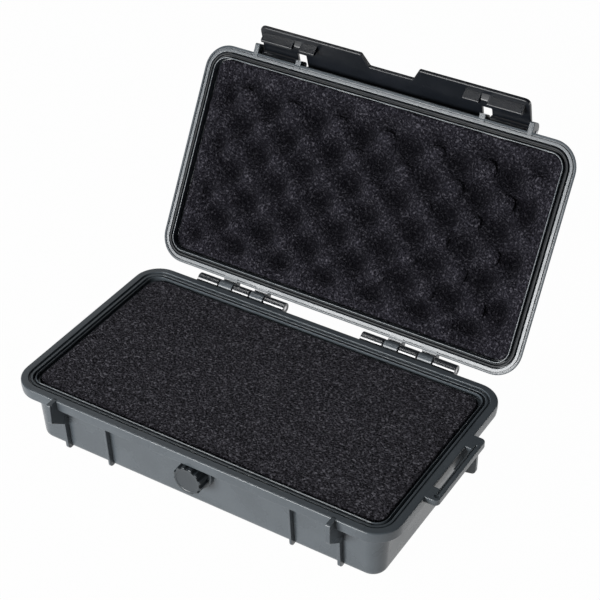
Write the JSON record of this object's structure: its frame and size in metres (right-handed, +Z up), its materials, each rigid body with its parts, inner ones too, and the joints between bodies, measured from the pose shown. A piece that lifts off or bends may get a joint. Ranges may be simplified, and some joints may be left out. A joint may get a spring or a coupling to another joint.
{
  "type": "microphone case",
  "caption": "Small sealed hard case with foam inside, a hinged lid, one wide front latch flap, a purge knob and a strap bracket.",
  "frame": {"origin": "middle of the underside of the base, on the surface it stands on", "axes": "+X along the length towards the strap bracket, +Y towards the hinges, +Z up"},
  "size_m": [0.2575, 0.2347, 0.1841],
  "materials": {
    "shell_plastic": "fine satin mould texture, charcoal",
    "latch_plastic": "satin, black",
    "foam": "open-cell foam, black",
    "rubber": "smooth black rubber",
    "steel": "drawn wire",
    "brass": "turned"
  },
  "bodies": {
    "base": {"base_shell": "shell_plastic", "base_foam": "foam", "purge_bush": "brass", "hinge_pin_left": "steel", "hinge_pin_right": "steel"},
    "lid": {"lid_shell": "shell_plastic", "lid_gasket": "rubber", "lid_foam": "foam", "latch_pin_left": "steel", "latch_pin_right": "steel"},
    "latch": {"latch_flap": "latch_plastic"},
    "purge_seal": {"purge_oring": "rubber"},
    "purge_knob": {"purge_knob": "shell_plastic"}
  },
  "joints": [
    {"name": "lid_hinge", "type": "hinge", "parent": "base", "child": "lid", "pos_m": [0, 0.07426, 0.04061], "axis": [1, 0, 0], "range_deg": [0, 118.97]},
    {"name": "latch_hinge", "type": "hinge", "parent": "lid", "child": "latch", "pos_m": [0, 0.15085, 0.16287], "axis": [1, 0, 0], "range_deg": [-54, 46]},
    {"name": "purge_travel", "type": "slide", "parent": "base", "child": "purge_seal", "axis": [0, -1, 0], "range_m": [0, 0.00125]},
    {"name": "purge_turn", "type": "hinge", "parent": "purge_seal", "child": "purge_knob", "pos_m": [0, -0.068, 0.0256], "axis": [0, -1, 0], "range_deg": [0, 360]}
  ],
  "couplings": [
    {"joint": "purge_travel", "follows": "purge_turn", "m_per_rad": 0.00019894}
  ]
}
